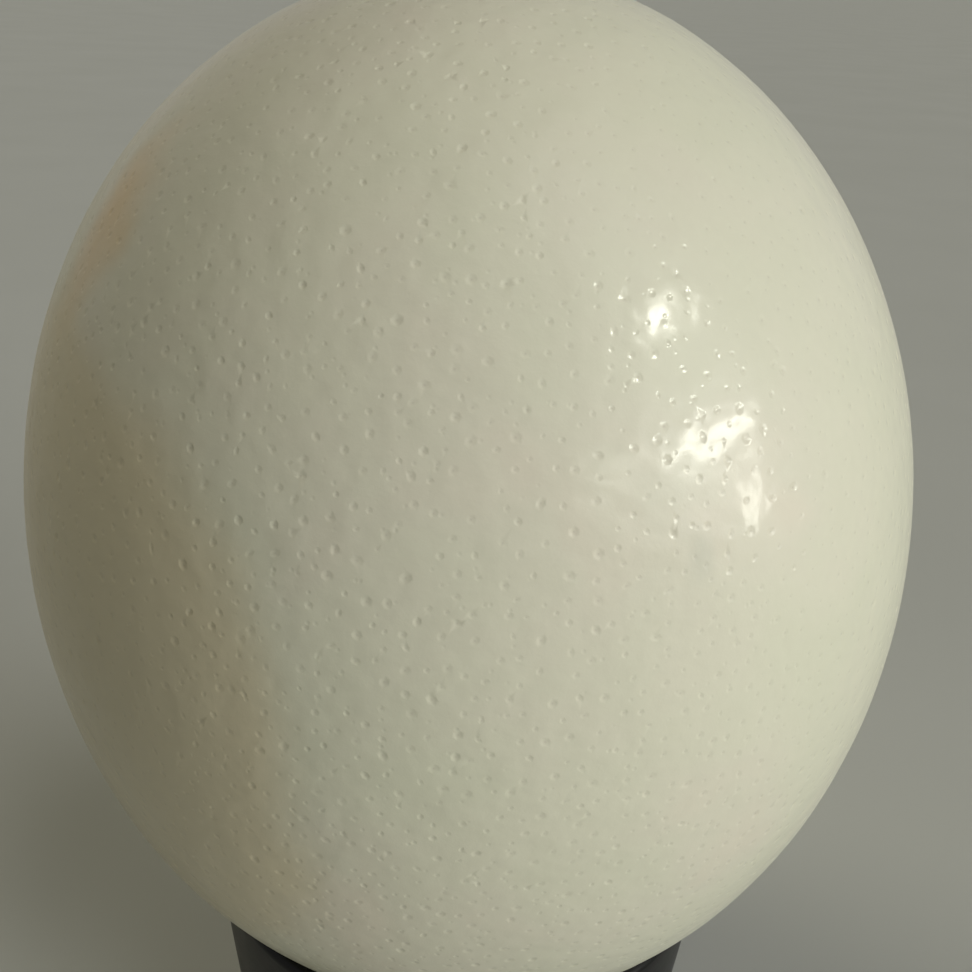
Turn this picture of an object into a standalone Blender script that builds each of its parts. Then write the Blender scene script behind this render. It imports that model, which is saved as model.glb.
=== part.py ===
"""Ostrich egg standing upright in a turned black ring stand.

Units are metres, +Z is up. The origin is on the surface that the stand
rests on, straight below the middle of the egg, so it is the bottom centre
of the whole object's box. The egg is one solid of revolution with a
slightly blunter top. It is only laid into the ring, and leans a little
towards -X, as a loose egg does. The ring is open from top to bottom and
carries the egg on a narrow cone cut into its upper inner edge.
"""
import bpy
import bmesh
from math import asin, cos, degrees, hypot, pi, radians, sin, sqrt

# ---------------------------------------------------------------- egg
EGG_LENGTH = 0.1534        # pole to pole
EGG_WIDTH = 0.1270         # across the widest girth
EGG_BLUNT = 0.013          # how much fuller the upper half is (0 = ellipse)
EGG_LEAN = radians(2.9)    # lean of the long axis towards -X
EGG_RINGS = 34             # faces from pole to pole
EGG_STEPS = 56             # faces around

# -------------------------------------------------------------- stand
RING_HEIGHT = 0.0360       # table to the top of the rim
RING_R_TOP = 0.0409        # outer radius at the rim
RING_R_MID = 0.0395        # outer radius at RING_H_MID
RING_H_MID = 0.02125
RING_R_BASE = 0.0366       # outer radius at the table
SEAT_R = 0.0370            # radius of the circle the egg bears on
SEAT_HALF = 0.0013         # half the radial width of the seat cone
BORE_R_BASE = 0.0322       # bore radius at the table
RIM_FILLET = 0.0012        # rounding of the rim's outer edge
BASE_FILLET = 0.0008       # rounding of the lower edges
SEAT_FILLET = 0.0004       # softening of the seat's two edges
RING_STEPS = 64            # faces around
WALL_STEPS = 5             # faces up the barrelled outer wall
SEAT_GAP = 0.0003          # clearance kept between the shell and the seat


def egg_radius(z):
    """Radius of the egg at height z above its middle."""
    t = max(-1.0, min(1.0, z / (EGG_LENGTH / 2)))
    return EGG_WIDTH / 2 * sqrt(1.0 - t * t) * (1.0 + EGG_BLUNT * t)


def egg_profile():
    """Half outline of the egg, from the top pole down to the bottom pole."""
    points = []
    for i in range(EGG_RINGS + 1):
        a = pi / 2 - pi * i / EGG_RINGS
        z = EGG_LENGTH / 2 * sin(a)
        r = 0.0 if i in (0, EGG_RINGS) else egg_radius(z)
        points.append((r, z))
    return points


def bearing_height():
    """Height below the egg's middle, as a negative z, where its radius is SEAT_R."""
    low, high = -EGG_LENGTH / 2, 0.0
    for _ in range(60):
        mid = (low + high) / 2
        if egg_radius(mid) < SEAT_R:
            low = mid
        else:
            high = mid
    return (low + high) / 2


BEAR_Z = bearing_height()
BEAR_SLOPE = (egg_radius(BEAR_Z + 1e-5) - egg_radius(BEAR_Z - 1e-5)) / 2e-5
# The normals of the bearing circle meet on the egg's long axis, at PIVOT_Z
# from its middle. The egg leans about that point, which stays on the
# ring's axis, so it goes on bearing on the whole circle.
PIVOT_Z = BEAR_Z + SEAT_R * BEAR_SLOPE
RING_X = -PIVOT_Z * sin(EGG_LEAN)
SEAT_Z = RING_HEIGHT - SEAT_HALF / BEAR_SLOPE
GAP_RISE = SEAT_GAP * hypot(1.0, BEAR_SLOPE) / BEAR_SLOPE
EGG_Z = SEAT_Z - BEAR_Z + GAP_RISE + PIVOT_Z * (1.0 - cos(EGG_LEAN))


def wall_radius(h):
    """Outer radius of the ring at height h: a parabola through three radii."""
    h0, h1, h2 = 0.0, RING_H_MID, RING_HEIGHT
    r0, r1, r2 = RING_R_BASE, RING_R_MID, RING_R_TOP
    return (r0 * (h - h1) * (h - h2) / ((h0 - h1) * (h0 - h2))
            + r1 * (h - h0) * (h - h2) / ((h1 - h0) * (h1 - h2))
            + r2 * (h - h0) * (h - h1) / ((h2 - h0) * (h2 - h1)))


def fillet(before, corner, after, radius, steps):
    """Points of the arc that rounds a corner of a profile."""
    ax, az = before[0] - corner[0], before[1] - corner[1]
    bx, bz = after[0] - corner[0], after[1] - corner[1]
    la, lb = hypot(ax, az), hypot(bx, bz)
    ax, az, bx, bz = ax / la, az / la, bx / lb, bz / lb
    half = asin(max(-1.0, min(1.0, hypot(ax - bx, az - bz) / 2)))
    back = radius / (sin(half) / cos(half))
    mx, mz = ax + bx, az + bz
    lm = hypot(mx, mz)
    cx = corner[0] + mx / lm * radius / sin(half)
    cz = corner[1] + mz / lm * radius / sin(half)
    start = (corner[0] + ax * back - cx, corner[1] + az * back - cz)
    end = (corner[0] + bx * back - cx, corner[1] + bz * back - cz)
    total = pi - 2 * half
    points = []
    for i in range(steps + 1):
        t = i / steps
        wa = sin((1 - t) * total) / sin(total)
        wb = sin(t * total) / sin(total)
        points.append((cx + start[0] * wa + end[0] * wb,
                       cz + start[1] * wa + end[1] * wb))
    return points


def ring_profile():
    """Closed outline of the ring's wall: down the outside, in, up the bore, out."""
    seat_top = (SEAT_R + SEAT_HALF, RING_HEIGHT)
    seat_low = (SEAT_R - SEAT_HALF, RING_HEIGHT - 2 * SEAT_HALF / BEAR_SLOPE)
    rim = (RING_R_TOP, RING_HEIGHT)
    foot_out = (RING_R_BASE, 0.0)
    foot_in = (BORE_R_BASE, 0.0)
    wall = []
    for i in range(1, WALL_STEPS):
        h = RING_HEIGHT * (1.0 - i / WALL_STEPS)
        wall.append((wall_radius(h), h))
    points = []
    points += fillet(seat_top, rim, wall[0], RIM_FILLET, 3)
    points += wall
    points += fillet(wall[-1], foot_out, foot_in, BASE_FILLET, 2)
    points += fillet(foot_out, foot_in, seat_low, BASE_FILLET, 2)
    points += fillet(foot_in, seat_low, seat_top, SEAT_FILLET, 1)
    points += fillet(seat_low, seat_top, rim, SEAT_FILLET, 1)
    return points


def material(name, color, roughness, metallic=0.0):
    mat = bpy.data.materials.new(name)
    mat.use_nodes = True
    shader = mat.node_tree.nodes["Principled BSDF"]
    shader.inputs["Base Color"].default_value = (*color, 1.0)
    shader.inputs["Roughness"].default_value = roughness
    shader.inputs["Metallic"].default_value = metallic
    mat.diffuse_color = (*color, 1.0)
    return mat


def turned(name, profile, closed, steps, mat):
    """An object turned about Z from a profile in the XZ plane at +X."""
    bm = bmesh.new()
    verts = [bm.verts.new((r, 0.0, z)) for r, z in profile]
    for a, b in zip(verts, verts[1:]):
        bm.edges.new((a, b))
    if closed:
        bm.edges.new((verts[-1], verts[0]))
    mesh = bpy.data.meshes.new(name)
    bm.to_mesh(mesh)
    bm.free()
    mesh.materials.append(mat)
    obj = bpy.data.objects.new(name, mesh)
    bpy.context.scene.collection.objects.link(obj)
    screw = obj.modifiers.new("turn", "SCREW")
    screw.axis = "Z"
    screw.angle = 2 * pi
    screw.steps = steps
    screw.render_steps = steps
    screw.use_merge_vertices = True
    screw.merge_threshold = 0.00001
    screw.use_smooth_shade = True
    screw.use_normal_calculate = False
    return obj


def build():
    for obj in list(bpy.data.objects):
        bpy.data.objects.remove(obj, do_unlink=True)

    shell = material("eggshell", (0.80, 0.76, 0.60), 0.42)
    black = material("black_lacquer", (0.012, 0.012, 0.013), 0.38)

    root = bpy.data.objects.new("egg_on_stand", None)
    bpy.context.scene.collection.objects.link(root)

    ring = turned("stand_ring", ring_profile(), True, RING_STEPS, black)
    ring.location = (RING_X, 0.0, 0.0)
    ring.parent = root

    egg = turned("egg", egg_profile(), False, EGG_STEPS, shell)
    egg.location = (0.0, 0.0, EGG_Z)
    egg.rotation_euler = (0.0, -EGG_LEAN, 0.0)
    egg.parent = root

    print("egg middle at z = %.5f m, ring axis at x = %.5f m, lean %.1f deg"
          % (EGG_Z, RING_X, degrees(EGG_LEAN)))


build()
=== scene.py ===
"""Looks of the ostrich egg on its ring stand: pored ivory shell, black lacquered ring."""
from math import asin, cos, hypot, pi, radians, sin, tau

import bpy
import numpy as np
from mathutils import Matrix, Vector
from mathutils.geometry import delaunay_2d_cdt
from mathutils.kdtree import KDTree


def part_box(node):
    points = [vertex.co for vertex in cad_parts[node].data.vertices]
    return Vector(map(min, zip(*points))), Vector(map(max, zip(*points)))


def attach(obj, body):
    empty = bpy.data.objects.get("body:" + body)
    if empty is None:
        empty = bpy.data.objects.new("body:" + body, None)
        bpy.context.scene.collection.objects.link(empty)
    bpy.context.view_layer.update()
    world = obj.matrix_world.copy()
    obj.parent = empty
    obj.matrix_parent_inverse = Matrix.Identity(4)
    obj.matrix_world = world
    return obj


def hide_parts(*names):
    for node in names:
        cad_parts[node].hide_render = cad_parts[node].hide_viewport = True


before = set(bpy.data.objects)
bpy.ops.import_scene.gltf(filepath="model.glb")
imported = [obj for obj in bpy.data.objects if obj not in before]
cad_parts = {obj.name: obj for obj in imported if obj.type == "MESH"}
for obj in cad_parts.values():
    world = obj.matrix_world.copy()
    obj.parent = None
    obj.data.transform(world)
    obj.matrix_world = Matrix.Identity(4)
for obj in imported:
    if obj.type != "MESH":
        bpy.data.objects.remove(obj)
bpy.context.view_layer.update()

# ------------------------------------------------------------------ sizes
EGG_LENGTH = 0.1534
EGG_WIDTH = 0.1270
EGG_BLUNT = 0.013
EGG_LEAN = radians(2.9)
egg_lo, egg_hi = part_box("egg")
ring_lo, ring_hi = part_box("stand_ring")
EGG_MID = Vector((0.0, 0.0, (egg_lo.z + egg_hi.z) / 2 - 0.00002))
RING_AXIS = Vector(((ring_lo.x + ring_hi.x) / 2, (ring_lo.y + ring_hi.y) / 2, 0.0))

A = EGG_WIDTH / 2
C = EGG_LENGTH / 2
LEAN = np.array(Matrix.Rotation(-EGG_LEAN, 3, "Y"))
MID = np.array(EGG_MID)

# pores: round dimples with soft edges, each with rings of vertices of its own
WIDE_PORES = 4080
FINE_PORES = 4170
PORE_SEED = 20177
WIDE_R = 0.00066              # radius of a wide pore's dimple
FINE_R = 0.00050              # radius of a fine pore's dimple
HIDDEN = radians(-66)         # below this the stand hides the shell, and pores are few
PORE_SLOPE = 0.140            # steepest slope of a dimple's side
RIM_GAP = 0.00030             # outer points closer than this are one
SWELL = 0.000018              # height of the shell's unevenness


# ------------------------------------------------------------ egg surface
def surface(u, phi):
    """Point of the smooth egg in its own frame, from its parametric angles."""
    t = np.sin(u)
    r = A * np.cos(u) * (1.0 + EGG_BLUNT * t)
    return np.stack([r * np.cos(phi), r * np.sin(phi), C * t], -1)


def angles(p):
    """Parametric angles of the surface point nearest to p, near enough."""
    r = np.hypot(p[..., 0], p[..., 1])
    u = np.arctan2(p[..., 2] / C, r / A)
    for _ in range(3):
        u = np.arctan2(p[..., 2] / C, r / (A * (1.0 + EGG_BLUNT * np.sin(u))))
    return u, np.arctan2(p[..., 1], p[..., 0])


def normals(u, phi):
    """Outward unit normal of the smooth egg."""
    t, c = np.sin(u), np.cos(u)
    dr = A * (-t * (1.0 + EGG_BLUNT * t) + c * EGG_BLUNT * c)
    dz = C * c
    n = np.stack([dz * np.cos(phi), dz * np.sin(phi), -dr], -1)
    return n / np.linalg.norm(n, axis=-1, keepdims=True)


def tangents(n):
    """Two unit tangents for each normal."""
    ref = np.where(np.abs(n[..., 2:3]) < 0.9, [[0.0, 0.0, 1.0]], [[1.0, 0.0, 0.0]])
    e1 = np.cross(ref, n)
    e1 /= np.linalg.norm(e1, axis=-1, keepdims=True)
    return e1, np.cross(n, e1)


def waves(seed, count, low, high):
    """A smooth random field over space: plane waves with wavelengths low to high."""
    rng = np.random.default_rng(seed)
    d = rng.normal(size=(count, 3))
    d /= np.linalg.norm(d, axis=1, keepdims=True)
    k = tau / np.exp(rng.uniform(np.log(low), np.log(high), count))
    ph = rng.uniform(0, tau, count)
    amp = (1.0 / k) / np.sqrt(((1.0 / k) ** 2).sum() / 2)

    def field(p):
        return np.sin(p @ (d * k[:, None]).T + ph) @ amp
    return field


swell = waves(11, 60, 0.0070, 0.0220)    # gentle unevenness of the shell
patch = waves(12, 24, 0.015, 0.050)      # where pores crowd or thin out


def scatter_pores():
    """Pore centres spread over the egg: random, never closer than a varying gap."""
    rng = np.random.default_rng(PORE_SEED)
    # cumulative area against u, so that the scatter is even over the surface
    us = np.linspace(-pi / 2, pi / 2, 4001)
    t = np.sin(us)
    r = A * np.cos(us) * (1.0 + EGG_BLUNT * t)
    ds = np.hypot(np.gradient(r, us), np.gradient(C * t, us))
    cdf = np.concatenate([[0.0], np.cumsum((r * ds)[1:] + (r * ds)[:-1])])
    cdf /= cdf[-1]
    cell = 0.0024
    grid = {}
    out, gaps = [], []
    total = WIDE_PORES + FINE_PORES
    while len(out) < total:
        m = 4000
        u = np.interp(rng.random(m), cdf, us)
        phi = rng.uniform(0, tau, m)
        p = surface(u, phi)
        open_ = (u > HIDDEN) | (rng.random(m) < 0.3)
        p = p[open_]
        m = len(p)
        wide = len(out) < WIDE_PORES
        if wide:
            gap = rng.uniform(0.0020, 0.0030, m) * np.clip(1.0 - 0.10 * patch(p), 0.8, 1.25)
            pair = rng.random(m) < 0.06
            gap[pair] = rng.uniform(0.0011, 0.0014, pair.sum())
        else:
            gap = rng.uniform(0.0014, 0.0020, m)
        for q, g in zip(p, gap):
            key = tuple((q // cell).astype(int))
            near = [j for a in (-1, 0, 1) for b in (-1, 0, 1) for c in (-1, 0, 1)
                    for j in grid.get((key[0] + a, key[1] + b, key[2] + c), ())]
            if any((q[0] - out[j][0]) ** 2 + (q[1] - out[j][1]) ** 2
                   + (q[2] - out[j][2]) ** 2 < max(g, gaps[j] * 0.5) ** 2 for j in near):
                continue
            grid.setdefault(key, []).append(len(out))
            out.append(q)
            gaps.append(g)
            if len(out) == (WIDE_PORES if wide else total):
                break
    return np.array(out)


def pored_egg():
    """The shell as one closed mesh: every pore has a centre and rings of vertices."""
    rng = np.random.default_rng(PORE_SEED + 1)
    c = scatter_pores()
    n = len(c)
    wide = np.arange(n) < WIDE_PORES
    cu, cphi = angles(c)
    cn = normals(cu, cphi)
    e1, e2 = tangents(cn)
    # size, depth and shape of each pore
    rad = np.clip(np.exp(0.13 * rng.normal(size=n)), 0.75, 1.25) * np.where(wide, WIDE_R, FINE_R)
    # a dish d (1 - s^2)^2 is steepest, 1.54 d / radius, at s = 0.58
    depth = PORE_SLOPE * rad / 1.54 * np.clip(np.exp(0.26 * rng.normal(size=n)), 0.5, 1.6)
    long_ = np.exp(np.abs(rng.normal(0, 0.20, n)))
    turn = rng.uniform(0, pi, n)
    ax = e1 * np.cos(turn)[:, None] + e2 * np.sin(turn)[:, None]
    ay = np.cross(cn, ax)
    sa, sb = np.sqrt(long_), 1.0 / np.sqrt(long_)
    # the pores near each pore
    tree = KDTree(n)
    for i, q in enumerate(c):
        tree.insert(Vector(q), i)
    tree.balance()
    K = 9
    near = np.zeros((n, K), int)
    for i, q in enumerate(c):
        near[i] = [j for _, j, _ in tree.find_n(Vector(q), K)]

    def height(p, own):
        """Height over the smooth egg at p, where own says which pore p belongs to."""
        js = near[own]
        d = p[:, None, :] - c[js]
        x = (d * ax[js]).sum(-1) / sa[js]
        y = (d * ay[js]).sum(-1) / sb[js]
        s2 = np.minimum((x * x + y * y) / rad[js] ** 2, 1.0)
        return (-depth[js] * (1.0 - s2) ** 2).min(1) + SWELL * swell(p)

    pts, own, ring = [c], [np.arange(n)], [np.zeros(n)]
    off = rng.uniform(0, tau, n)

    def add_ring(which, count, radius, tag, shift):
        for i in range(count):
            a = off[which] + tau * (i + shift) / count
            pts.append(c[which] + ax[which] * (sa[which] * radius * np.cos(a))[:, None]
                       + ay[which] * (sb[which] * radius * np.sin(a))[:, None])
            own.append(which)
            ring.append(np.full(len(which), tag))
    w, f = np.nonzero(wide)[0], np.nonzero(~wide)[0]
    add_ring(w, 6, rad[w] * 0.60, 0.6, 0.0)
    add_ring(w, 6, rad[w] * 1.04, 1.0, 0.5)
    add_ring(f, 5, rad[f] * 0.60, 0.6, 0.0)
    add_ring(f, 5, rad[f] * 1.04, 1.0, 0.5)
    p = np.concatenate(pts)
    own = np.concatenate(own)
    ring = np.concatenate(ring)
    u, phi = angles(p)
    p = surface(u, phi)
    # drop ring points that fall inside another pore's pit
    js = near[own]
    d = p[:, None, :] - c[js]
    x = (d * ax[js]).sum(-1) / sa[js]
    y = (d * ay[js]).sum(-1) / sb[js]
    s2 = (x * x + y * y) / rad[js] ** 2
    s2[js == own[:, None]] = 9.0
    keep = (s2.min(1) > np.where(ring < 0.9, 0.30, 0.93)) | (ring == 0)
    p, own, ring, u, phi = p[keep], own[keep], ring[keep], u[keep], phi[keep]
    # leave the lower pole free: it closes the mesh
    keep = u > -pi / 2 + 0.004
    p, own, ring, u, phi = p[keep], own[keep], ring[keep], u[keep], phi[keep]
    # thin out the outer points where two pores' rims run together
    order = np.argsort(ring, kind="stable")
    p, own, ring, u, phi = p[order], own[order], ring[order], u[order], phi[order]
    cell = RIM_GAP
    kept = {}
    keep = np.ones(len(p), bool)
    for i, q in enumerate(p.tolist()):
        key = (int(q[0] // cell), int(q[1] // cell), int(q[2] // cell))
        for a in (-1, 0, 1):
            for b in (-1, 0, 1):
                for e in (-1, 0, 1):
                    for o in kept.get((key[0] + a, key[1] + b, key[2] + e), ()):
                        least = RIM_GAP if ring[i] > 0.9 and o[3] > 0.9 else 0.00010
                        if (q[0] - o[0]) ** 2 + (q[1] - o[1]) ** 2 + (q[2] - o[2]) ** 2 < least ** 2:
                            keep[i] = False
        if keep[i]:
            kept.setdefault(key, []).append(q + [ring[i]])
    p, own, ring, u, phi = p[keep], own[keep], ring[keep], u[keep], phi[keep]

    nrm = normals(u, phi)
    t1, t2 = tangents(nrm)
    eps = 0.00002
    h = height(p, own)
    g1 = (height(p + t1 * eps, own) - height(p - t1 * eps, own)) / (2 * eps)
    g2 = (height(p + t2 * eps, own) - height(p - t2 * eps, own)) / (2 * eps)
    shade = nrm - t1 * g1[:, None] - t2 * g2[:, None]
    shade /= np.linalg.norm(shade, axis=1, keepdims=True)
    verts = p + nrm * h[:, None]

    # triangulate on the plane, seen from the lower pole
    X = np.cos(u) * np.cos(phi) / (1.0 + np.sin(u))
    Y = np.cos(u) * np.sin(phi) / (1.0 + np.sin(u))
    flat = [Vector((float(a), float(b))) for a, b in zip(X, Y)]
    co2, _, tris, origin, _, _ = delaunay_2d_cdt(flat, [], [], 0, 1e-9, True)
    index = np.array([o[0] for o in origin])
    tris = index[np.array(tris)]
    # close the hole at the lower pole
    edge = np.concatenate([tris[:, [0, 1]], tris[:, [1, 2]], tris[:, [2, 0]]])
    packed = edge[:, 0].astype(np.int64) * len(verts) + edge[:, 1]
    back = edge[:, 1].astype(np.int64) * len(verts) + edge[:, 0]
    rim = edge[~np.isin(packed, back)]
    pole = len(verts)
    verts = np.concatenate([verts, [[0.0, 0.0, -C]]])
    shade = np.concatenate([shade, [[0.0, 0.0, -1.0]]])
    ring = np.concatenate([ring, [1.0]])
    cap = np.stack([rim[:, 1], rim[:, 0], np.full(len(rim), pole)], 1)
    tris = np.concatenate([tris, cap])

    verts = verts @ LEAN.T + MID
    shade = shade @ LEAN.T
    # point all faces outward
    a, b, d = verts[tris[:, 0]], verts[tris[:, 1]], verts[tris[:, 2]]
    out = (np.cross(b - a, d - a) * ((a + b + d) / 3 - MID)).sum(1)
    if out.sum() < 0:
        tris = tris[:, ::-1]
    mesh = bpy.data.meshes.new("ostrich_eggshell")
    mesh.vertices.add(len(verts))
    mesh.vertices.foreach_set("co", verts.astype(np.float32).ravel())
    mesh.loops.add(tris.size)
    mesh.loops.foreach_set("vertex_index", tris.astype(np.int32).ravel())
    mesh.polygons.add(len(tris))
    mesh.polygons.foreach_set("loop_start", np.arange(0, tris.size, 3, dtype=np.int32))
    mesh.update(calc_edges=True)
    mesh.validate()
    mesh.shade_smooth()
    pore = mesh.attributes.new("pore", "FLOAT", "POINT")
    pore.data.foreach_set("value", np.where(ring == 0, 1.0, 0.0).astype(np.float32))
    mesh.normals_split_custom_set_from_vertices(shade.astype(np.float32).tolist())
    obj = bpy.data.objects.new("ostrich_eggshell", mesh)
    bpy.context.scene.collection.objects.link(obj)
    print("eggshell: %d pores, %d vertices, %d triangles" % (n, len(verts), len(tris)))
    return obj


# -------------------------------------------------------------- materials
def new_material(name):
    mat = bpy.data.materials.new(name)
    mat.use_nodes = True
    nt = mat.node_tree
    for node in list(nt.nodes):
        nt.nodes.remove(node)
    out = nt.nodes.new("ShaderNodeOutputMaterial")
    bsdf = nt.nodes.new("ShaderNodeBsdfPrincipled")
    nt.links.new(bsdf.outputs[0], out.inputs[0])
    return mat, nt, bsdf


def node(nt, kind, **values):
    nd = nt.nodes.new(kind)
    for k, v in values.items():
        if k.startswith("_"):
            setattr(nd, k[1:], v)
        else:
            nd.inputs[k.replace("_", " ")].default_value = v
    return nd


def noise(nt, coord, scale, detail=2.0, rough=0.5, distort=0.0):
    nd = node(nt, "ShaderNodeTexNoise", Scale=scale, Detail=detail, Roughness=rough, Distortion=distort)
    nt.links.new(coord, nd.inputs["Vector"])
    return nd.outputs["Fac"]


def ramp(nt, fac, stops):
    nd = nt.nodes.new("ShaderNodeValToRGB")
    el = nd.color_ramp.elements
    while len(el) > 1:
        el.remove(el[-1])
    el[0].position, el[0].color = stops[0][0], (*stops[0][1], 1.0)
    for pos, col in stops[1:]:
        e = el.new(pos)
        e.color = (*col, 1.0)
    nt.links.new(fac, nd.inputs[0])
    return nd.outputs[0]


def mix(nt, fac, a, b, blend="MIX"):
    nd = node(nt, "ShaderNodeMix", _data_type="RGBA", _blend_type=blend, _clamp_factor=True)
    for sock, v in ((nd.inputs[0], fac), (nd.inputs[6], a), (nd.inputs[7], b)):
        if hasattr(v, "is_linked") or hasattr(v, "links"):
            nt.links.new(v, sock)
        elif isinstance(v, (int, float)):
            sock.default_value = v
        else:
            sock.default_value = (*v, 1.0)
    return nd.outputs[2]


def math(nt, op, a, b=None, c=None, clamp=False):
    nd = node(nt, "ShaderNodeMath", _operation=op, _use_clamp=clamp)
    for i, v in enumerate((a, b, c)):
        if v is None:
            continue
        if isinstance(v, (int, float)):
            nd.inputs[i].default_value = v
        else:
            nt.links.new(v, nd.inputs[i])
    return nd.outputs[0]


def spot(nt, coord, at, size, spin=(0.0, 0.0, 0.0), soft=1.0):
    """1 at a place on the shell, falling to 0 at an ellipsoid of those half sizes."""
    mp = node(nt, "ShaderNodeMapping", _vector_type="TEXTURE")
    mp.inputs["Location"].default_value = at
    mp.inputs["Rotation"].default_value = spin
    mp.inputs["Scale"].default_value = size
    nt.links.new(coord, mp.inputs["Vector"])
    ln = node(nt, "ShaderNodeVectorMath", _operation="LENGTH")
    nt.links.new(mp.outputs[0], ln.inputs[0])
    mr = node(nt, "ShaderNodeMapRange", _interpolation_type="SMOOTHERSTEP", _clamp=True)
    mr.inputs["From Min"].default_value = 1.0
    mr.inputs["From Max"].default_value = 1.0 - soft
    nt.links.new(ln.outputs["Value"], mr.inputs["Value"])
    return mr.outputs[0]


def shell_material():
    mat, nt, bsdf = new_material("eggshell_ivory")
    tc = nt.nodes.new("ShaderNodeTexCoord")
    co = tc.outputs["Object"]
    # broad, faint blotches: cream, a greener and a pinker tint
    warp = node(nt, "ShaderNodeTexNoise", Scale=45.0, Detail=2.0)
    nt.links.new(co, warp.inputs["Vector"])
    wv = node(nt, "ShaderNodeVectorMath", _operation="MULTIPLY_ADD")
    wv.inputs[1].default_value = (0.012, 0.012, 0.012)
    nt.links.new(warp.outputs["Color"], wv.inputs[0])
    nt.links.new(co, wv.inputs[2])
    wco = wv.outputs[0]
    blot = noise(nt, wco, 26.0, 3.0, 0.6)
    base = ramp(nt, blot, [(0.36, (0.742, 0.735, 0.540)), (0.50, (0.765, 0.745, 0.557)),
                           (0.58, (0.770, 0.738, 0.560)), (0.68, (0.798, 0.738, 0.565))])
    fine = noise(nt, co, 210.0, 3.0, 0.6)
    base = mix(nt, math(nt, "MULTIPLY", fine, 0.10), base, (0.62, 0.58, 0.43))
    grit = noise(nt, co, 800.0, 3.0, 0.6)
    base = mix(nt, math(nt, "MULTIPLY", grit, 0.20), base, (0.62, 0.59, 0.43))
    # painted shade: the shaded flank is painted a darker light brown, standing in for its shade and the
    # warm light reflected into it
    painted_warm_shade = spot(nt, wco, (-0.056, -0.026, 0.094), (0.058, 0.058, 0.054), (0.0, 0.0, 0.0), 0.18)
    base = mix(nt, math(nt, "MULTIPLY", painted_warm_shade, 0.9), base, (0.728, 0.645, 0.425))
    # a faint darker patch on the front: painted shade and a painted dark reflection
    painted_dark_patch = spot(nt, wco, (0.0290, -0.0505, 0.1240), (0.0032, 0.0050, 0.0062), (0.0, 0.0, 0.0), 1.0)
    base = mix(nt, math(nt, "MULTIPLY", painted_dark_patch, 0.5), base, (0.60, 0.60, 0.46))
    # painted reflection: an orange-brown streak high on one flank, the image of a warm object in the polish
    painted_warm_reflection = spot(nt, wco, (-0.0378, -0.0222, 0.1545), (0.0078, 0.010, 0.0265), (0.0, 0.50, 0.0), 1.0)
    base = mix(nt, math(nt, "MULTIPLY", painted_warm_reflection, 0.75), base, (0.76, 0.55, 0.25))
    # pores are darker at their centres: a little dirt, and painted shade in their hollows
    at = node(nt, "ShaderNodeAttribute", _attribute_name="pore")
    core = math(nt, "POWER", at.outputs["Fac"], 2.5)
    dirt_and_shade = math(nt, "MULTIPLY", core, 0.36)
    base = mix(nt, dirt_and_shade, base, (0.46, 0.41, 0.29))
    nt.links.new(base, bsdf.inputs["Base Color"])
    # satin, with a polish that varies from place to place
    r1 = noise(nt, co, 60.0, 3.0, 0.6)
    rough = node(nt, "ShaderNodeMapRange")
    rough.inputs["To Min"].default_value = 0.40
    rough.inputs["To Max"].default_value = 0.56
    nt.links.new(r1, rough.inputs["Value"])
    rr = math(nt, "ADD", rough.outputs[0], math(nt, "MULTIPLY", core, 0.30), clamp=True)
    nt.links.new(rr, bsdf.inputs["Roughness"])
    bsdf.inputs["IOR"].default_value = 1.5
    bsdf.inputs["Coat Weight"].default_value = 0.55
    bsdf.inputs["Coat Roughness"].default_value = 0.15
    bsdf.inputs["Coat IOR"].default_value = 1.5
    # grain finer than the pores
    g1 = noise(nt, co, 900.0, 3.0, 0.6)
    g2 = noise(nt, co, 3200.0, 2.0, 0.5)
    gsum = math(nt, "ADD", g1, math(nt, "MULTIPLY", g2, 0.35))
    vor = node(nt, "ShaderNodeTexVoronoi", Scale=500.0, Randomness=1.0)
    nt.links.new(co, vor.inputs["Vector"])
    small = node(nt, "ShaderNodeMapRange", _interpolation_type="SMOOTHERSTEP", _clamp=True)
    small.inputs["From Min"].default_value = 0.0
    small.inputs["From Max"].default_value = 0.19
    nt.links.new(vor.outputs["Distance"], small.inputs["Value"])
    pits = node(nt, "ShaderNodeBump", Strength=1.0, Distance=0.000022)
    nt.links.new(small.outputs[0], pits.inputs["Height"])
    relief = node(nt, "ShaderNodeBump", Strength=1.0, Distance=0.00015)
    nt.links.new(noise(nt, co, 260.0, 1.0, 0.5), relief.inputs["Height"])
    nt.links.new(pits.outputs[0], relief.inputs["Normal"])
    bump = node(nt, "ShaderNodeBump", Strength=0.35, Distance=0.00005)
    nt.links.new(gsum, bump.inputs["Height"])
    nt.links.new(relief.outputs[0], bump.inputs["Normal"])
    nt.links.new(bump.outputs[0], bsdf.inputs["Normal"])
    bump2 = node(nt, "ShaderNodeBump", Strength=0.20, Distance=0.00005)
    nt.links.new(g1, bump2.inputs["Height"])
    nt.links.new(relief.outputs[0], bump2.inputs["Normal"])
    nt.links.new(bump2.outputs[0], bsdf.inputs["Coat Normal"])
    return mat


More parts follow.
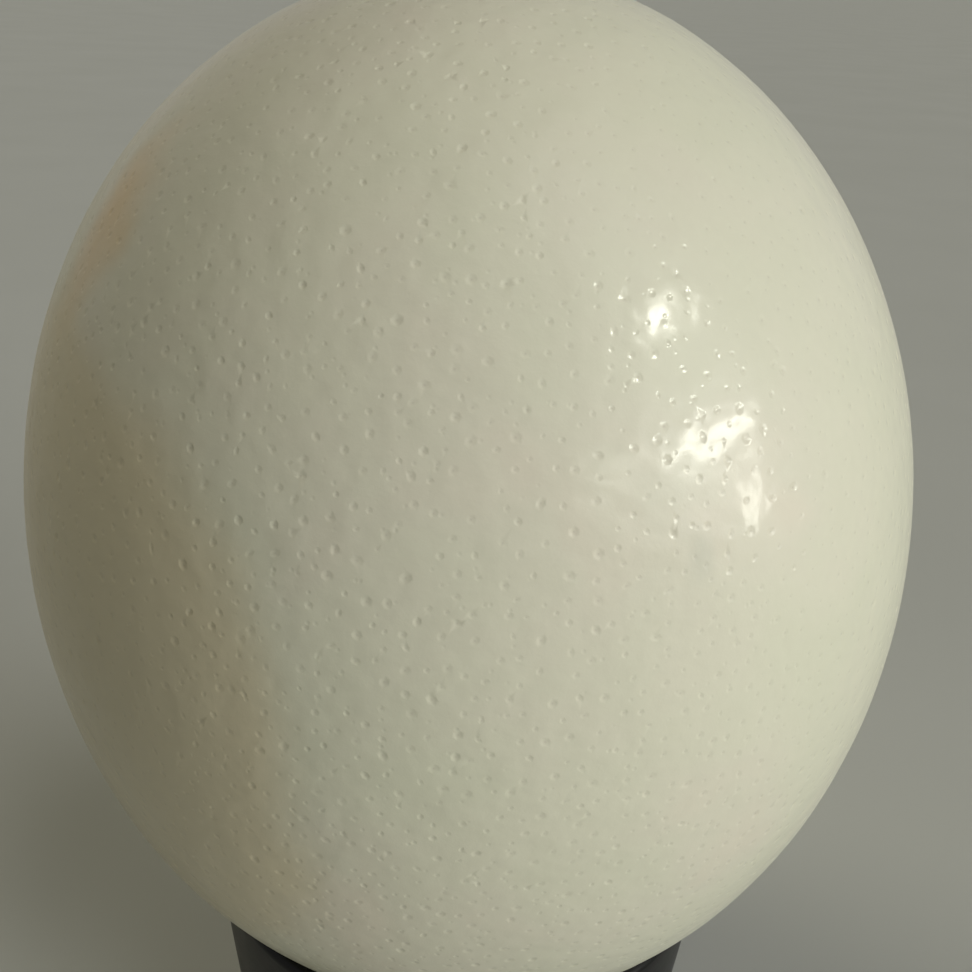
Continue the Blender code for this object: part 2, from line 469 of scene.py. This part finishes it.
def lacquer_material():
    mat, nt, bsdf = new_material("black_lacquer")
    tc = nt.nodes.new("ShaderNodeTexCoord")
    co = tc.outputs["Object"]
    n1 = noise(nt, co, 120.0, 4.0, 0.65)
    base = ramp(nt, n1, [(0.30, (0.0035, 0.0035, 0.0040)), (0.70, (0.0080, 0.0078, 0.0075))])
    nt.links.new(base, bsdf.inputs["Base Color"])
    mp = node(nt, "ShaderNodeMapping")
    mp.inputs["Scale"].default_value = (60.0, 60.0, 2600.0)
    nt.links.new(co, mp.inputs["Vector"])
    turn = node(nt, "ShaderNodeTexNoise", Scale=1.0, Detail=3.0, Roughness=0.6)
    nt.links.new(mp.outputs[0], turn.inputs["Vector"])
    mr = node(nt, "ShaderNodeMapRange")
    mr.inputs["To Min"].default_value = 0.26
    mr.inputs["To Max"].default_value = 0.46
    nt.links.new(n1, mr.inputs["Value"])
    nt.links.new(mr.outputs[0], bsdf.inputs["Roughness"])
    bsdf.inputs["IOR"].default_value = 1.45
    bsdf.inputs["Specular IOR Level"].default_value = 0.30
    bump = node(nt, "ShaderNodeBump", Strength=0.25, Distance=0.00006)
    nt.links.new(turn.outputs["Fac"], bump.inputs["Height"])
    nt.links.new(bump.outputs[0], bsdf.inputs["Normal"])
    return mat


def floor_material():
    mat, nt, bsdf = new_material("pale_floor")
    tc = nt.nodes.new("ShaderNodeTexCoord")
    n1 = noise(nt, tc.outputs["Object"], 8.0, 3.0, 0.5)
    base = ramp(nt, n1, [(0.3, (0.475, 0.490, 0.450)), (0.7, (0.495, 0.510, 0.470))])
    nt.links.new(base, bsdf.inputs["Base Color"])
    bsdf.inputs["Roughness"].default_value = 0.95
    bsdf.inputs["Specular IOR Level"].default_value = 0.10
    return mat


# ------------------------------------------------------------------ stand
def ring_outline():
    """Closed outline of the ring's wall, finely rounded: down the outside, up the bore."""
    H = 0.0360

    def wall(h):
        h0, h1, h2 = 0.0, 0.02125, H
        r0, r1, r2 = 0.0366, 0.0395, 0.0409
        return (r0 * (h - h1) * (h - h2) / ((h0 - h1) * (h0 - h2))
                + r1 * (h - h0) * (h - h2) / ((h1 - h0) * (h1 - h2))
                + r2 * (h - h0) * (h - h1) / ((h2 - h0) * (h2 - h1)))
    seat_top, seat_low = (0.0383, H), (0.0357, H - 0.0023)
    rim, foot_out, foot_in = (0.0409, H), (0.0366, 0.0), (0.0322, 0.0)
    side = [(wall(H * (1 - i / 24)), H * (1 - i / 24)) for i in range(1, 24)]
    out = []

    def fillet(before, corner, after, radius, steps):
        ax, az = before[0] - corner[0], before[1] - corner[1]
        bx, bz = after[0] - corner[0], after[1] - corner[1]
        la, lb = hypot(ax, az), hypot(bx, bz)
        ax, az, bx, bz = ax / la, az / la, bx / lb, bz / lb
        half = asin(min(1.0, hypot(ax - bx, az - bz) / 2))
        back = radius * cos(half) / sin(half)
        lm = hypot(ax + bx, az + bz)
        cx = corner[0] + (ax + bx) / lm * radius / sin(half)
        cz = corner[1] + (az + bz) / lm * radius / sin(half)
        s = (corner[0] + ax * back - cx, corner[1] + az * back - cz)
        e = (corner[0] + bx * back - cx, corner[1] + bz * back - cz)
        tot = pi - 2 * half
        return [(cx + s[0] * sin((1 - i / steps) * tot) / sin(tot) + e[0] * sin(i / steps * tot) / sin(tot),
                 cz + s[1] * sin((1 - i / steps) * tot) / sin(tot) + e[1] * sin(i / steps * tot) / sin(tot))
                for i in range(steps + 1)]
    out += fillet(seat_top, rim, side[0], 0.0012, 7)
    out += [q for q in side if 0.0015 < q[1] < H - 0.0015]
    out += fillet(side[-1], foot_out, foot_in, 0.0008, 5)
    out += fillet(foot_out, foot_in, seat_low, 0.0008, 5)
    out += fillet(foot_in, seat_low, seat_top, 0.0004, 3)
    out += fillet(seat_low, seat_top, rim, 0.0004, 3)
    return out


def turned_ring():
    prof = ring_outline()
    steps = 192
    v, f = [], []
    m = len(prof)
    for i in range(steps):
        a = tau * i / steps
        v += [(RING_AXIS.x + r * cos(a), RING_AXIS.y + r * sin(a), z) for r, z in prof]
    for i in range(steps):
        j = (i + 1) % steps
        for k in range(m):
            l = (k + 1) % m
            f.append((i * m + k, i * m + l, j * m + l, j * m + k))
    mesh = bpy.data.meshes.new("ring_stand")
    mesh.from_pydata(v, [], f)
    mesh.validate()
    mesh.update()
    mesh.shade_smooth()
    obj = bpy.data.objects.new("ring_stand", mesh)
    bpy.context.scene.collection.objects.link(obj)
    return obj


# ------------------------------------------------------------------ build
egg = pored_egg()
egg.data.materials.append(shell_material())
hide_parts("egg")
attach(egg, "root")

stand = turned_ring()
stand.data.materials.append(lacquer_material())
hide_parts("stand_ring")
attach(stand, "root")

bpy.ops.mesh.primitive_circle_add(vertices=96, radius=60.0, fill_type="NGON", location=(0, 0, -0.0004))
floor = bpy.context.object
floor.name = "floor"
floor.data.materials.append(floor_material())

# ----------------------------------------------------------------- camera
cam = bpy.data.cameras.new("camera")
cam.sensor_fit = "HORIZONTAL"
cam.sensor_width = 36.0
cam.lens = 1200.0 / 972.0 * 36.0
cam.clip_start = 0.01
cam.clip_end = 200.0
camera = bpy.data.objects.new("camera", cam)
camera.location = (0.0, -0.166831, 0.174585)
camera.rotation_euler = (radians(66.2226), radians(-2.8211), radians(0.5085))
bpy.context.scene.collection.objects.link(camera)
bpy.context.scene.camera = camera


# ----------------------------------------------------------------- lights
def area(name, at, aim, size, size_y, power, color=(1, 1, 1), glossy=True):
    data = bpy.data.lights.new(name, "AREA")
    data.shape = "RECTANGLE"
    data.size = size
    data.size_y = size_y
    data.energy = power
    data.color = color
    obj = bpy.data.objects.new(name, data)
    obj.location = at
    obj.rotation_euler = (Vector(aim) - Vector(at)).to_track_quat("-Z", "Y").to_euler()
    obj.visible_glossy = glossy
    bpy.context.scene.collection.objects.link(obj)
    return obj


def toward(azimuth, elevation, distance):
    a, e = radians(azimuth), radians(elevation)
    return Vector((cos(a) * cos(e), sin(a) * cos(e), sin(e))) * distance + EGG_MID


def sun(name, azimuth, elevation, strength, color=(1, 1, 1), spread=28.0):
    """A far, soft light that lights the egg and the floor alike and leaves no image in the gloss."""
    data = bpy.data.lights.new(name, "SUN")
    data.energy = strength
    data.angle = radians(spread)
    data.color = color
    obj = bpy.data.objects.new(name, data)
    obj.location = toward(azimuth, elevation, 1.0)
    obj.rotation_euler = (EGG_MID - obj.location).to_track_quat("-Z", "Y").to_euler()
    obj.visible_glossy = False
    bpy.context.scene.collection.objects.link(obj)
    return obj


# broad light that shapes the egg
sun("key_left", -38, 8, 1.74, (0.985, 1.0, 1.02))
sun("key_right", -27, 8, 1.05, (0.97, 1.0, 1.08))
sun("key_high", -32, 62, 0.57, (1.03, 1.0, 1.0))
sun("back_top", 150, 55, 0.63, (1.05, 1.0, 0.82))
sun("back_left", 120, 15, 0.35, (1.10, 0.92, 0.70))
sun("back_low", 92, 10, 0.80, (1.0, 0.98, 0.90))
# small lamps that show as images in the polish
TINT = (1.0, 1.0, 0.88)
lamps = [area("lamp_small", toward(-33.2, 38, 1.0), EGG_MID, 0.175, 0.085, 1.80, TINT),
         area("lamp_band", toward(-32.0, 16.3, 1.0), EGG_MID, 0.42, 0.050, 2.10, TINT),
         area("lamp_end", toward(-57, 14.3, 1.0), EGG_MID, 0.16, 0.08, 0.22, TINT),
         area("lamp_post", toward(-21.5, 4.5, 1.0), EGG_MID, 0.032, 0.17, 0.50, TINT)]
for lamp in lamps:
    lamp.visible_diffuse = False

world = bpy.data.worlds.new("studio")
bpy.context.scene.world = world
world.use_nodes = True
bg = world.node_tree.nodes["Background"]
bg.inputs[0].default_value = (0.50, 0.50, 0.49, 1.0)
bg.inputs[1].default_value = 0.64
world.cycles_visibility.diffuse = False

bpy.context.scene.view_settings.view_transform = "Standard"
bpy.context.scene.view_settings.look = "None"
